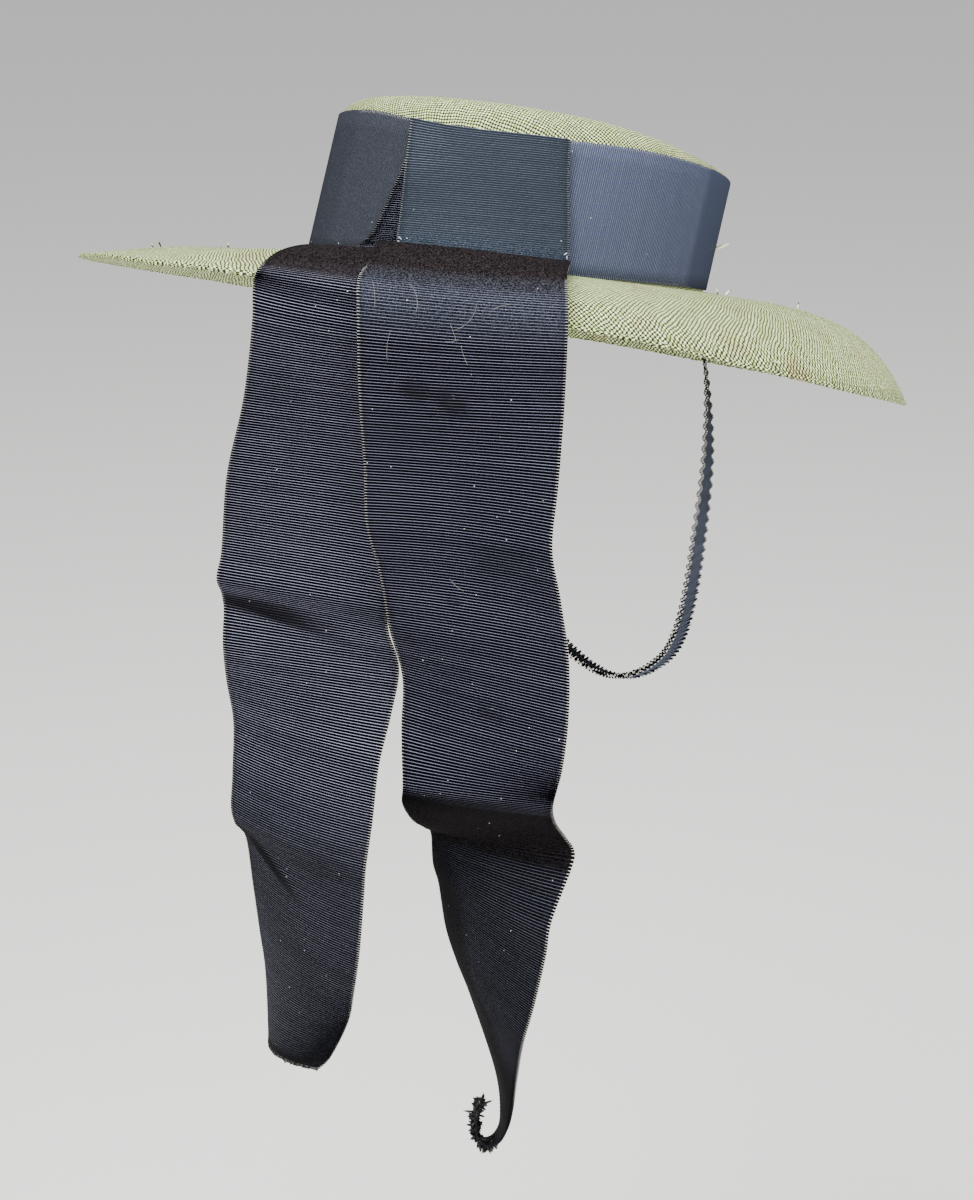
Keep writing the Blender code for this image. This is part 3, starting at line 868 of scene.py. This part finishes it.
def hung(row):
    """One rib of a hanging streamer, left to right, from the place of its right end and how it turns."""
    height, out, side, turn, curl, tip, width = row
    outward, rightward = toward(HANG_BEARING), toward(HANG_BEARING + 90)
    point = outward * out + rightward * side + Vector((0, 0, height))
    rib = [point.copy()]
    step = width / STREAMER_ACROSS
    for index in range(STREAMER_ACROSS):
        heading = math.radians(turn + curl * (index + 0.5) / STREAMER_ACROSS)
        level = rightward * math.cos(heading) + outward * math.sin(heading)
        point -= level * step * math.cos(math.radians(tip))
        point.z += step * math.sin(math.radians(tip))
        rib.append(point.copy())
    return rib[::-1]


def streamer_keys(crown_rows, brim_rows, hanging_rows):
    """Key ribs from the top of the crown to the free end, each a list of points from left to right."""
    keys = []
    for above, stand_off, left, right in crown_rows:
        bearings = across(left, right)
        heights = [side_top(b) if above is None else join_height(b) + above for b in bearings]
        pairs = zip(bearings, heights)
        keys.append([worn(on_crown(bearing, height, stand_off)) for bearing, height in pairs])
    for reach, lift, left, right in brim_rows:
        keys.append([worn(on_brim(bearing, reach, lift)) for bearing in across(left, right)])
    return keys + [hung(row) for row in hanging_rows]


STREAMER_STEP = STREAMER_RIB / RIB_STEPS
PANEL_LENGTH = 0.050
PANEL_FINER = 0.82
LEFT_SELVEDGE_UNTIL = 1.0
RIGHT_SELVEDGE_UNTIL = 0.455
# Painted highlights on the streamers' rib crests; the left one is lighter to paint the stronger light on
# the left streamer. The groove colour is painted shade.
LEFT_CREST_HIGHLIGHT = "#aeb0c9"
RIGHT_CREST_HIGHLIGHT = "#8f91a8"
STREAMER_GROOVE_SHADE = "#010103"
# The dark of these marks is painted shade, along the hard kink and the diagonal crease.
LEFT_SHADED_CREASES = (
    # across, along, turn, reach_across, reach_along, depth, dark
    (0.018, 0.2822, 4, 0.042, 0.0062, 0.0010, 0.80),
    (0.030, 0.2850, 9, 0.030, 0.0030, 0.0008, 0.60),
    (0.018, 0.3860, 27, 0.032, 0.0042, 0.0012, 0.85),
    (0.004, 0.3770, 20, 0.014, 0.0030, 0.0006, 0.70),
)
# The dark of these marks is painted shade: at the kink, over the lower left part below it, and in the
# creases and small dents above.
RIGHT_SHADED_CREASES = (
    # across, along, turn, reach_across, reach_along, depth, dark
    (0.036, 0.3330, 0, 0.090, 0.0080, 0.0000, 0.55),
    (0.050, 0.2360, -12, 0.020, 0.0080, 0.0004, 0.25),
    (0.010, 0.4050, 84, 0.050, 0.0170, 0.0000, 0.80),
    (0.0205, 0.1775, 10, 0.0080, 0.0055, 0.0003, 0.55),
    (0.0330, 0.1810, 25, 0.0110, 0.0060, 0.0003, 0.55),
    (0.0275, 0.2544, 0, 0.0045, 0.0030, 0.0002, 0.40),
    (0.0400, 0.2937, 10, 0.0085, 0.0040, 0.0003, 0.40),
)
# The zone from 0.066 to 0.142 is real wear and the last strip is the dark hem; the zone from 0.375, below
# the diagonal crease, is painted shade.
LEFT_WEAR_AND_SHADE = (
    # start, end, fade, strength, dark, pale
    (0.066, 0.142, 0.006, 0.90, "#050404", "#2e2829"),
    (0.375, 0.480, 0.030, 0.58, "#050507", "#222327"),
    (0.4697, 0.480, 0.0006, 0.92, "#040405", "#1c1b1e"),
)
# The zone from 0.064 to 0.137 is real wear. The thin pale line at 0.061 is a painted highlight on the fold
# where the streamer leaves the crown, and the dark zones from the kink at 0.3345 to the end are painted
# shade, where the streamer faces down.
RIGHT_WEAR_AND_PAINTED_LIGHT = (
    # start, end, fade, strength, dark, pale
    (0.000, 0.050, 0.004, 0.24, "#3c4751", "#4a5560"),
    (0.053, 0.062, 0.004, 0.55, "#1c242c", "#414c56"),
    (0.064, 0.137, 0.005, 0.90, "#050404", "#2e2829"),
    (0.0608, 0.0622, 0.0010, 0.42, "#3c4140", "#66695e"),
    (0.137, 0.150, 0.010, 0.35, "#10141b", "#4a505c"),
    (0.3345, 0.3640, 0.0020, 0.95, "#050303", "#1c1819"),
    (0.364, 0.520, 0.003, 0.62, "#020203", "#1c1d20"),
    (0.462, 0.520, 0.020, 0.80, "#050505", "#1b1a1d"),
)
RIGHT_PULLED = (
    # across, along, reach
    (0.0205, 0.1775, 0.0080),
    (0.0340, 0.1790, 0.0070),
    (0.0300, 0.1860, 0.0060),
    (0.0275, 0.2544, 0.0040),
    (0.0400, 0.2937, 0.0080),
)
streamers = (
    (
        "left",
        LEFT_CREST_HIGHLIGHT,
        LEFT_ON_CROWN,
        LEFT_ON_BRIM,
        LEFT_HANGING,
        LEFT_WEAR_AND_SHADE,
        LEFT_SHADED_CREASES,
        (),
        LEFT_SELVEDGE_UNTIL,
    ),
    (
        "right",
        RIGHT_CREST_HIGHLIGHT,
        RIGHT_ON_CROWN,
        RIGHT_ON_BRIM,
        RIGHT_HANGING,
        RIGHT_WEAR_AND_PAINTED_LIGHT,
        RIGHT_SHADED_CREASES,
        RIGHT_PULLED,
        RIGHT_SELVEDGE_UNTIL,
    ),
)
streamer_rows = {}
for side, crest, *shape_rows, wear_and_painted_light, shaded_creases, pulled, selvedge_until in streamers:
    keys = streamer_keys(*shape_rows)
    rows = evenly(keys, STREAMER_STEP, STREAMER_BETWEEN_KEYS, PANEL_LENGTH, PANEL_FINER)
    streamer_rows[side] = rows
    length = 0.0
    for row, following in zip(rows, rows[1:]):
        length += (following[STREAMER_ACROSS // 2] - row[STREAMER_ACROSS // 2]).length
    finish = grosgrain_rayon(
        f"grosgrain_rayon_streamer_{side}",
        STREAMER_WIDTH,
        STREAMER_RIB,
        crest,
        STREAMER_GROOVE_SHADE,
        wear_and_painted_light,
        shaded_creases,
        pulled,
        selvedge_until,
    )
    name = f"ribbon_streamer_{side}"
    streamer = ribbon_piece(name, rows, STREAMER_STEP, STREAMER_WIDTH, finish, shaded_creases, f"streamer_{side}")


# Loose threads. The right streamer's cut end has frayed to a dark fringe and the left one's to a short one,
# tacking stitches show at the foot of the panel, and a few hairs of lint have settled on it.
FRAYED = 340
FRAYED_ROWS = 84
FRAY_LENGTH = 0.0046
FRAY_THICKNESS = 0.0009
FRAY_SEED = 5
FRAY_CROWDING = 1.5
FRAY_STRAY = 1.7
FRAY_BEND = 0.5
FRAY_STEPS = (-0.15, 0, 0.25, 0.5, 0.75, 1)
HEM_THREADS = 90
HEM_FRAY = 0.0013
HEM_STRAY = 0.6
HEM_STEPS = (-0.4, 0, 0.35, 0.7, 1)
TACKS = (
    # across, along, over_across, over_along
    (0.0712, 0.0524, -0.0016, 0.0016),
    (0.0708, 0.0540, 0.0004, 0.0020),
    (0.0008, 0.0528, 0.0018, 0.0014),
    (0.0012, 0.0546, -0.0006, 0.0020),
)
TACK_THICKNESS = 0.0005
TACK_STEPS = (0, 0.2, 0.4, 0.6, 0.8, 1)
TACK_RISE = 0.0007
TACK_LIFT = 0.0002
HAIRS = (
    # across, along, heading, length, curl
    (0.005, 0.141, 68, 0.010, 35),
    (0.017, 0.140, 40, 0.013, 80),
    (0.012, 0.157, 110, 0.011, -30),
    (0.032, 0.153, 65, 0.007, 10),
    (0.035, 0.158, 140, 0.005, 60),
    (0.041, 0.146, 100, 0.014, 75),
    (0.053, 0.145, 170, 0.008, -30),
    (0.036, 0.160, 80, 0.008, -25),
    (0.027, 0.246, 60, 0.007, -50),
)
HAIR_THICKNESS = 0.00008
HAIR_STEPS = 8
HAIR_LIFT = 0.0006
HAIR_GREY = "#83837f"
THREAD_BLACK = "#050506"
THREAD_NAVY = "#8f95a6"
THREAD_SCALE = 700
THREAD_PALE = (0.45, 0.75, 0, 0.12)


def on_streamer(rows, across, along, lift):
    """A point that far above a streamer's face."""
    row, column = along / STREAMER_STEP, across / STREAMER_WIDTH * STREAMER_ACROSS
    row_at = min(max(int(row), 0), len(rows) - 2)
    column_at = min(max(int(column), 0), STREAMER_ACROSS - 1)
    corner = rows[row_at][column_at]
    rightward = rows[row_at][column_at + 1] - corner
    downward = rows[row_at + 1][column_at] - corner
    face = downward.cross(rightward).normalized()
    return corner + rightward * (column - column_at) + downward * (row - row_at) + face * lift


def spun_thread(name, hex_colour):
    """Spun thread: soft, rough fibres with no shine, a little lighter here and there."""
    made, tree, shader = new_material(name, 0.85, 0.20)
    place = add_node(tree, "TexCoord", out="Object")
    share = ranged(tree, noise_node(tree, place, THREAD_SCALE, 2.0), *THREAD_PALE)
    tree.links.new(mixed(tree, share, hex_colour, LINT), shader.inputs["Base Color"])
    return made


# The stray directions of the threads come from a seeded noise, so they are the same each run.
noise.seed_set(FRAY_SEED)
right_rows = streamer_rows["right"]
curl_middle = sum((row[0] for row in right_rows[-FRAYED_ROWS:]), Vector()) / FRAYED_ROWS
fringe = []
for thread in range(FRAYED):
    row = right_rows[-1 - int(FRAYED_ROWS * (thread / FRAYED) ** FRAY_CROWDING)]
    share = STREAMER_ACROSS * (0.5 + 0.5 * noise.noise(Vector((thread * 3.7, 0.4, 1.3))))
    column = min(int(share), STREAMER_ACROSS - 1)
    foot = row[column].lerp(row[column + 1], share - column)
    stray = noise.noise_vector(Vector((thread * 1.9, 4.2, 0.3)))
    outward = ((foot - curl_middle).normalized() + stray * FRAY_STRAY).normalized()
    reach = FRAY_LENGTH * (0.8 + 0.5 * noise.noise(Vector((thread * 0.7, 2, 5))))
    bend = noise.noise_vector(Vector((thread * 2.3, 1.2, 7.1))) * FRAY_BEND
    fringe.append([foot + (outward + bend * step) * reach * step for step in FRAY_STEPS])
hem, before_hem = streamer_rows["left"][-1], streamer_rows["left"][-2]
for thread in range(HEM_THREADS):
    share = STREAMER_ACROSS * (thread + 0.5) / HEM_THREADS
    column = int(share)
    foot = hem[column].lerp(hem[column + 1], share - column)
    onward = (hem[column] - before_hem[column]).normalized()
    stray = noise.noise_vector(Vector((thread * 2.7, 0.6, 3.9)))
    reach = HEM_FRAY * (0.9 + 0.8 * noise.noise(Vector((thread * 1.3, 5, 2))))
    fringe.append([foot + (onward + stray * HEM_STRAY * step) * reach * step for step in HEM_STEPS])
frayed = strands("fringe", fringe, FRAY_THICKNESS)
add_piece("frayed_threads", frayed, spun_thread("spun_rayon_black", THREAD_BLACK), "navy_grosgrain")

tacks = []
for start, along, over_across, over_along in TACKS:
    path = []
    for step in TACK_STEPS:
        lift = TACK_RISE * math.sin(math.pi * step) + TACK_LIFT
        path.append(on_streamer(right_rows, start + over_across * step, along + over_along * step, lift))
    tacks.append(path)
tacked = strands("tacks", tacks, TACK_THICKNESS)
add_piece("tacking_stitches", tacked, spun_thread("spun_cotton_navy", THREAD_NAVY), "navy_grosgrain")

hairs = []
for start, along, heading, length, curl in HAIRS:
    path = []
    across_at, along_at = start, along
    for step in range(HAIR_STEPS + 1):
        path.append(on_streamer(right_rows, across_at, along_at, HAIR_LIFT))
        angle = math.radians(heading + curl * step / HAIR_STEPS)
        across_at += math.cos(angle) * length / HAIR_STEPS
        along_at += math.sin(angle) * length / HAIR_STEPS
    hairs.append(path)
hairs_form = strands("hairs", hairs, HAIR_THICKNESS)
add_piece("lint_hairs", hairs_form, spun_thread("cotton_lint", HAIR_GREY), "navy_grosgrain")


# Chin ribbon. A narrow grosgrain ribbon is gathered along one thread so that its edges ruffle. It runs from
# inside the crown's side down the cheek, under the chin and up to the other side.
CHIN_WIDTH = 0.011
CHIN_BEARING = 135
CHIN_SEWN = (0.012, -SEAM_DEPTH - 0.002)
CHIN_ROUTE = (
    # across, back, up, facing
    (-0.0575, -0.0615, -0.044, 120),
    (-0.0570, -0.0680, -0.085, 100),
    (-0.0500, -0.0745, -0.130, 90),
    (-0.0420, -0.0800, -0.165, 90),
    (-0.0320, -0.0840, -0.187, 90),
    (-0.0160, -0.0865, -0.201, 90),
    (0.0000, -0.0875, -0.206, 90),
)
CHIN_ROWS = 90
CHIN_ACROSS = 8
CHIN_RUFFLE = 0.0011
CHIN_RUFFLES = 118
CHIN_RIB = 0.00090
# Painted highlight on the chin ribbon's rib crests.
CHIN_CREST_HIGHLIGHT = "#626878"


def along_crown(bearing):
    """The level direction along the crown's side, towards the back."""
    return (on_crown(bearing - 1, 0, 0) - on_crown(bearing + 1, 0, 0)).normalized()


def mirrored(vector):
    return Vector((-vector.x, vector.y, vector.z))


def chin_keys():
    """Where the chin ribbon runs, each place with the direction across the ribbon there."""
    inside = -STRAW - 2 * GAP - RIBBON / 2
    sewn = [
        [worn(on_crown(bearing, join_height(bearing) + up, inside)) for up in CHIN_SEWN]
        for bearing in (CHIN_BEARING, -CHIN_BEARING)
    ]
    free = [Vector(row[:3]) for row in CHIN_ROUTE]
    faces = [worn(along_crown(bearing)) for bearing in (CHIN_BEARING, CHIN_BEARING)]
    faces += [worn(along_crown(row[3])) for row in CHIN_ROUTE]
    there = list(zip(sewn[0] + free, faces))
    back = list(zip(sewn[1] + [mirrored(point) for point in free], map(mirrored, faces)))
    return there + back[-2::-1]


chin_route = denser(chin_keys(), CHIN_ROWS)
chin_rows = []
for index, (point, crosswise) in enumerate(chin_route):
    ahead = chin_route[min(index + 1, len(chin_route) - 1)][0] - chin_route[max(index - 1, 0)][0]
    along = ahead.normalized()
    level = (crosswise - along * along.dot(crosswise)).normalized() * CHIN_WIDTH / 2
    share = (index - CHIN_ROWS) / (len(chin_route) - 1 - 2 * CHIN_ROWS)
    free = max(0, math.sin(math.pi * share)) ** 0.5
    wave = CHIN_RUFFLE * free * math.sin(2 * math.pi * CHIN_RUFFLES * share)
    shift = along.cross(level).normalized() * wave
    parts = [2 * column / CHIN_ACROSS - 1 for column in range(CHIN_ACROSS + 1)]
    chin_rows.append([point + level * part + shift * part * abs(part) for part in parts])
chin_ribs = evenly(chin_rows, CHIN_RIB / RIB_STEPS, 1)
chin_finish = grosgrain_rayon("grosgrain_rayon_chin", CHIN_WIDTH, CHIN_RIB, CHIN_CREST_HIGHLIGHT, STREAMER_GROOVE_SHADE)
chin = ribbon_piece(
    "ribbon_chin", chin_ribs, CHIN_RIB / RIB_STEPS, CHIN_WIDTH, chin_finish, (), "chin_ribbon"
)


# Straw tab. A leaf of flat straw, folded over, is caught under the band at the front right: a pale rim with
# a greener middle that is sunk a little.
TAB_BEARING = 139
TAB_HEIGHT = 0.022
TAB_LENGTH = 0.0105
TAB_WIDTH = 0.0060
TAB_THICKNESS = 0.0016
TAB_LIFT = math.radians(32)
TAB_TAPER = 0.5
TAB_SUNK = 0.45
TAB_SUNK_LENGTH = 0.28
TAB_SUNK_BREADTH = 0.22
TAB_GREEN_REACH = (0.0024, 0.0040)
TAB_VEINS = (4200, 260, 1)
TAB_VEINS_DARK = (0.45, 0.75, 0, 0.4)
TAB_PALE = "#f3f0cf"
TAB_GREEN = "#8d9660"


def flat_straw_leaf():
    """Split flat straw: fine veins run its length, the rim is bleached and the middle has stayed green."""
    made, tree, shader = new_material("flat_straw_leaf", 0.5, 0.4)
    on_leaf = add_node(tree, "TexCoord", out="UV")
    middle = crushed_mark(tree, on_leaf, 0.0, 0.0, 0, *TAB_GREEN_REACH)
    veins = add_node(tree, "Mapping", {"Scale": TAB_VEINS}, {"Vector": on_leaf})
    vein = noise_node(tree, veins, 1.0, 2.0)
    leaf = mixed(tree, middle, TAB_PALE, TAB_GREEN)
    colour = mixed(tree, ranged(tree, vein, *TAB_VEINS_DARK), leaf, STRAW_GAP)
    tree.links.new(colour, shader.inputs["Base Color"])
    bump = add_node(tree, "Bump", {"Strength": 0.4, "Distance": 0.0002}, {"Height": vein})
    tree.links.new(bump, shader.inputs["Normal"])
    return made


tab_out = toward(TAB_BEARING) * math.cos(TAB_LIFT) + Vector((0, 0, math.sin(TAB_LIFT)))
tab_flat = toward(TAB_BEARING + 90)
tab_foot = on_crown(TAB_BEARING, TAB_HEIGHT, BAND_STAND_OFF + RIBBON + 2 * GAP)
tab_form = bmesh.new()
bmesh.ops.create_uvsphere(tab_form, u_segments=36, v_segments=18, radius=0.5)
leaf_map = tab_form.loops.layers.uv.new("flat")
for face in tab_form.faces:
    face.smooth = True
    for loop in face.loops:
        length, breadth, depth = loop.vert.co
        loop[leaf_map].uv = breadth * TAB_WIDTH, length * TAB_LENGTH
for vert in tab_form.verts:
    length, breadth, depth = vert.co
    middle = math.exp(-((length / TAB_SUNK_LENGTH) ** 2) - (breadth / TAB_SUNK_BREADTH) ** 2)
    place = tab_foot + tab_out * TAB_LENGTH * (length + 0.5)
    place += tab_flat * TAB_WIDTH * breadth * (1 - TAB_TAPER * length)
    place += tab_out.cross(tab_flat) * TAB_THICKNESS * depth * (1 - TAB_SUNK * middle)
    vert.co = worn(place)
add_piece("straw_leaf_tab", tab_form, flat_straw_leaf(), "natural_straw", "straw_tab")


# Studio. A plain pale floor lies under the hat, and large soft lights stand above it and to both sides.
FLOOR_DROP = 0.45
FLOOR_HALF = 18.0
FLOOR_COLOUR = "#f4f2ee"
WORLD_COLOUR = "#eef0f4"
WORLD_STRENGTH = 0.76
LIGHTS = (
    # name, azimuth, elevation, distance, size, watts
    ("key", 178, 46, 1.9, 1.1, 66),
    ("fill", 258, 24, 2.0, 1.4, 54),
    ("top", 205, 80, 1.8, 1.2, 46),
)

floor_mesh = bmesh.new()
bmesh.ops.create_grid(floor_mesh, x_segments=1, y_segments=1, size=FLOOR_HALF)
bmesh.ops.translate(floor_mesh, verts=floor_mesh.verts, vec=(0, 0, cad_box[0][2] - FLOOR_DROP))
floor_data = bpy.data.meshes.new("floor")
floor_mesh.to_mesh(floor_data)
floor_mesh.free()
floor = bpy.data.objects.new("floor", floor_data)
bpy.context.scene.collection.objects.link(floor)
floor_paint, _, floor_shader = new_material("matt_floor_paint", 0.9, 0.2)
floor_shader.inputs["Base Color"].default_value = linear(FLOOR_COLOUR)
floor_data.materials.append(floor_paint)

for name, azimuth, elevation, distance, size, watts in LIGHTS:
    lamp_data = bpy.data.lights.new(name, "AREA")
    lamp_data.energy = watts
    lamp_data.size = size
    lamp = bpy.data.objects.new(name, lamp_data)
    turn, rise = math.radians(azimuth), math.radians(elevation)
    lamp.location = distance * Vector(
        (math.sin(turn) * math.cos(rise), -math.cos(turn) * math.cos(rise), math.sin(rise))
    )
    lamp.rotation_euler = lamp.location.to_track_quat("Z", "Y").to_euler()
    bpy.context.scene.collection.objects.link(lamp)

world = bpy.data.worlds.new("studio")
world.use_nodes = True
world.node_tree.nodes["Background"].inputs["Color"].default_value = linear(WORLD_COLOUR)
world.node_tree.nodes["Background"].inputs["Strength"].default_value = WORLD_STRENGTH
bpy.context.scene.world = world
